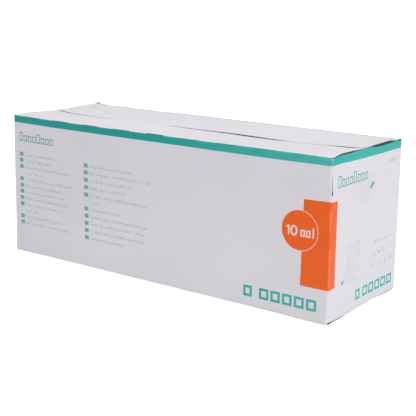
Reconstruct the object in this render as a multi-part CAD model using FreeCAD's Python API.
import FreeCAD, Part
import os
from math import cos, pi, radians, sin, tan, tanh
from FreeCAD import Vector

# Folding carton for syringes, closed, standing on its bottom flaps.
# X runs along the long side, the printed front looks to -Y, and Z is up.
# The origin is the middle of the bottom. All sizes are in millimetres.

# Outside of the closed carton
length = 390.0
depth = 132.0
height = 148.0

# Board and folds
board = 1.6            # thickness of the fluted board
fold_radius = 1.9      # outside of every crease
hinge_gap = 0.2        # between the two mitred sides of a top fold
ply_gap = 0.4          # between the long flaps and the end folds under them
flap_setback = 1.0     # long flaps stop this far short of each end
seam_gap = 1.0         # between the two long flaps
end_flap_reach = 66.0  # an end flap, from its fold to its free edge
corner_slot = 4.0      # cut away on each side of an end flap
end_flap_droop = 9.0   # degrees that the top end flaps hang below level

# Glued joint of the blank, inside the left end at the back
tab_width = 35.0
tab_slope = 12.0       # the tab is this much shorter at its free edge, top and bottom
joint_gap = 0.5        # between the raw edge of the end panel and the back fold

# Cut creases along the front folds
cut_pitch = 42.0
cut_length = 21.0
cut_clearance = 0.3    # around the square stretch that a cut leaves standing

# Open cut in the upright fold between the front and the right end
slit_drop = 16.0       # from the top of the carton down to the cut
slit_length = 16.5
slit_width = 0.7

# How far the seam sags below the folds, from the left end to the right
sag_places = (3.4, 3.3, 2.6, 3.6, 1.2)
end_flap_bearing = 0.85  # the long flaps leave the ends at this share of the end flaps' slope
sag_sections = 17

half_length = length / 2
half_depth = depth / 2
end_fold_top = height - board - ply_gap
flap_end = half_length - flap_setback
end_flap_half_width = half_depth - corner_slot
cut_count = int(length // cut_pitch)
cut_middles = [(index - (cut_count - 1) / 2) * cut_pitch for index in range(cut_count)]


def block(low, high):
    """Box between two corners given as (x, y, z)."""
    size = [upper - lower for lower, upper in zip(low, high)]
    return Part.makeBox(*size, Vector(*low))


def prism(points, travel):
    """Closed outline of points, pushed along a vector."""
    return Part.Face(Part.makePolygon(points + points[:1])).extrude(travel)


def upright_block(size_x, size_y, low, high, radius):
    """Block about the Z axis with its four upright edges rounded."""
    solid = block((-size_x / 2, -size_y / 2, low), (size_x / 2, size_y / 2, high))
    upright = [edge for edge in solid.Edges if abs(edge.Length - (high - low)) < 1e-6
               and abs(edge.tangentAt(edge.FirstParameter).z) > 0.9]
    return solid.makeFillet(radius, upright)


def folded_strip(place, reach, leg, droop, travel):
    """Strip of board bent over a crease: an upright leg, the fold and a flap.

    place(inward, down) gives the point at a distance from the wall's outer face
    and from the top of the fold. droop is in degrees past a right angle.
    """
    inner_radius = fold_radius - board
    swing = radians(90 + droop)
    heading = (sin(swing), -cos(swing))

    def on_arc(radius, angle):
        return place(fold_radius - radius * cos(angle), fold_radius - radius * sin(angle))

    def on_flap(radius):
        inward = fold_radius - radius * cos(swing) + reach * heading[0]
        down = fold_radius - radius * sin(swing) + reach * heading[1]
        return place(inward, down)

    def arc(radius, first, last):
        ends = (on_arc(radius, first), on_arc(radius, (first + last) / 2), on_arc(radius, last))
        return Part.Arc(*ends).toShape()

    def line(start, end):
        return Part.LineSegment(start, end).toShape()

    edges = [
        line(place(0, leg), place(0, fold_radius)),
        arc(fold_radius, 0, swing),
        line(on_arc(fold_radius, swing), on_flap(fold_radius)),
        line(on_flap(fold_radius), on_flap(inner_radius)),
        line(on_flap(inner_radius), on_arc(inner_radius, swing)),
        arc(inner_radius, swing, 0),
        line(place(board, fold_radius), place(board, leg)),
        line(place(board, leg), place(0, leg)),
    ]
    return Part.Face(Part.Wire(edges)).extrude(travel)


def side_walls():
    """The four upright panels with their rounded folds."""
    outside = upright_block(length, depth, 0, height, fold_radius)
    inside = upright_block(length - 2 * board, depth - 2 * board, 0, height, fold_radius - board)
    return outside.cut(inside)


def end_wall_cutter(side, low, high):
    """Takes an end panel away between two heights, and leaves the long panels whole."""
    inner_x = side * (half_length - board)
    outer_x = side * (half_length + 1)
    inner_y = half_depth - board
    return block((min(inner_x, outer_x), -inner_y, low), (max(inner_x, outer_x), inner_y, high))


def top_end_flap(side):
    """End flap folded in at the top, hanging a little below level."""
    def place(inward, down):
        return Vector(side * (half_length - inward), -end_flap_half_width, end_fold_top - down)
    width = Vector(0, 2 * end_flap_half_width, 0)
    return folded_strip(place, end_flap_reach - fold_radius, fold_radius + 1, end_flap_droop, width)


def bottom_end_flap(side):
    """End flap folded in at the bottom, glued on top of the long bottom flaps."""
    def place(inward, down):
        return Vector(side * (half_length - inward), -end_flap_half_width, board + down)
    width = Vector(0, 2 * end_flap_half_width, 0)
    return folded_strip(place, end_flap_reach - fold_radius, fold_radius + 1, 0, width)


def bottom_long_flap(side):
    """Long bottom flap: it carries the carton and meets the other at the seam."""
    def place(inward, down):
        return Vector(-flap_end, side * (half_depth - inward), down)
    reach = half_depth - seam_gap / 2 - fold_radius
    return folded_strip(place, reach, fold_radius + 1, 0, Vector(2 * flap_end, 0, 0))


def corner_prism(side, corner_z, into_z, first_x, last_x):
    """The sliver between a square edge and its rounded fold, along X."""
    y_out = side * half_depth
    y_in = side * (half_depth - fold_radius)
    z_in = corner_z + into_z * fold_radius
    low_x = min(first_x, last_x)
    span = Vector(abs(last_x - first_x), 0, 0)
    sides = [Vector(low_x, y_in, corner_z), Vector(low_x, y_out, corner_z),
             Vector(low_x, y_out, z_in), Vector(low_x, y_in, z_in)]
    centre = Vector(low_x, y_in, z_in)
    disc = Part.makeCylinder(fold_radius, span.x, centre, Vector(1, 0, 0))
    return prism(sides, span).cut(disc)


def mitre_prism(side, gap):
    """Everything above the slanting plane on which a long flap meets its panel."""
    y_out = side * half_depth
    size = 2 * fold_radius
    low_x = -half_length - 1
    step = Vector(0, -side * gap, 0)
    outline = [
        Vector(low_x, y_out, height) + step,
        Vector(low_x, y_out - side * size, height - size) + step,
        Vector(low_x, y_out - side * size, height + 1) + step,
        Vector(low_x, y_out, height + 1) + step,
    ]
    return prism(outline, Vector(length + 2, 0, 0))


def long_panel_top(side):
    """Slanted, rounded top edge of a long panel, as a cutter.

    The front keeps square stretches where its crease is cut through.
    """
    cutter = mitre_prism(side, 0)
    cutter = cutter.fuse(corner_prism(side, height, -1, -half_length - 1, half_length + 1))
    if side < 0:
        for middle in cut_middles:
            cutter = cutter.cut(block(
                (middle - cut_length / 2, -half_depth - 1, height - 2 * fold_radius - 1),
                (middle + cut_length / 2, -half_depth + board, height + 2)))
    return cutter


def glue_tab():
    """Tab on the end of the back panel, glued inside the left end panel."""
    x_out = -half_length + board
    y_fold = half_depth - board
    y_free = y_fold - tab_width
    low = 2 * board + 1
    high = end_fold_top - fold_radius - 2 * board - 1
    outline = [
        Vector(x_out, y_fold, low),
        Vector(x_out, y_fold, high),
        Vector(x_out, y_free, high - tab_slope),
        Vector(x_out, y_free, low + tab_slope),
    ]
    return prism(outline, Vector(board, 0, 0))


def joint_groove():
    """Gap where the raw edge of the left end panel stops short of the back fold."""
    y_high = half_depth - fold_radius
    return block((-half_length - 1, y_high - joint_gap, -1),
                 (-half_length + board, y_high, height + 1))


def upright_slit():
    """Cut through the fold between the front and the right end."""
    centre = Vector(half_length, -half_depth, height - slit_drop - slit_length)
    reach = 3 * fold_radius
    slit = Part.makeBox(2 * reach, slit_width, slit_length, Vector(-reach, -slit_width / 2, 0))
    slit.rotate(Vector(0, 0, 0), Vector(0, 0, 1), 135)
    slit.translate(centre)
    return slit


def carton():
    """The folded blank: walls, glued bottom and the end flaps folded in at the top."""
    body = side_walls()
    for side in (-1, 1):
        body = body.cut(end_wall_cutter(side, end_fold_top - fold_radius, height + 1))
        body = body.cut(end_wall_cutter(side, -1, board + fold_radius))
        body = body.cut(corner_prism(side, 0, 1, -half_length - 1, half_length + 1))
        body = body.cut(long_panel_top(side))
    body = body.cut(joint_groove())
    pieces = [glue_tab()]
    for side in (-1, 1):
        pieces += [top_end_flap(side), bottom_end_flap(side), bottom_long_flap(side)]
    for middle in cut_middles:
        pieces.append(corner_prism(-1, 0, 1, middle - cut_length / 2, middle + cut_length / 2))
    body = body.fuse(pieces).removeSplitter()
    return body.cut(upright_slit())


def seam_sag(x):
    """Drop of the seam below the folds: eased between its places, none at the two ends."""
    last = len(sag_places) - 1
    place = (x / flap_end + 1) / 2 * last
    left = min(int(place), last - 1)
    ease = (1 - cos(pi * (place - left))) / 2
    free_sag = sag_places[left] * (1 - ease) + sag_places[left + 1] * ease
    lying_sag = end_flap_bearing * tan(radians(end_flap_droop)) * (flap_end - abs(x))
    return free_sag * tanh(lying_sag / free_sag)


def sagging_sheet(side):
    """Long flap as a sheet of board, level at its fold and ends and lower at the seam."""
    y_fold = side * half_depth
    y_seam = side * seam_gap / 2
    y_middle = (y_fold + y_seam) / 2
    sections = []
    for index in range(sag_sections):
        x = -flap_end * cos(pi * index / (sag_sections - 1))
        sag = seam_sag(x)
        curve = Part.BezierCurve()
        curve.setPoles([Vector(x, y_fold, height), Vector(x, y_middle, height),
                        Vector(x, y_seam, height - sag)])
        sections.append(Part.Wire(curve.toShape()))
    top_face = Part.makeLoft(sections, False, False).Faces[0]
    return top_face.extrude(Vector(0, 0, -board))


def long_flap(side):
    """Long top flap with its mitred, rounded fold edge, notched at the cut creases."""
    sheet = sagging_sheet(side)
    y_out = side * half_depth
    sheet = sheet.common(mitre_prism(side, hinge_gap).fuse(block(
        (-length, min(0, y_out - side * 2 * fold_radius), 0),
        (length, max(0, y_out - side * 2 * fold_radius), height + 1))))
    sheet = sheet.cut(corner_prism(side, height, -1, -half_length - 1, half_length + 1))
    if side < 0:
        reach = cut_length / 2 + cut_clearance
        for middle in cut_middles:
            sheet = sheet.cut(block(
                (middle - reach, -half_depth - 1, height - 2 * board - 1),
                (middle + reach, -half_depth + board + cut_clearance, height + 1)))
    return sheet


nodes = {
    "carton": carton(),
    "front_flap": long_flap(-1),
    "back_flap": long_flap(1),
}

os.makedirs("parts", exist_ok=True)
for name, shape in nodes.items():
    solids = shape.Solids
    print(name, "solids", len(solids), "valid", shape.isValid(), "volume %.0f" % shape.Volume,
          "box", shape.BoundBox)
    shape.exportStep("parts/" + name + ".step")
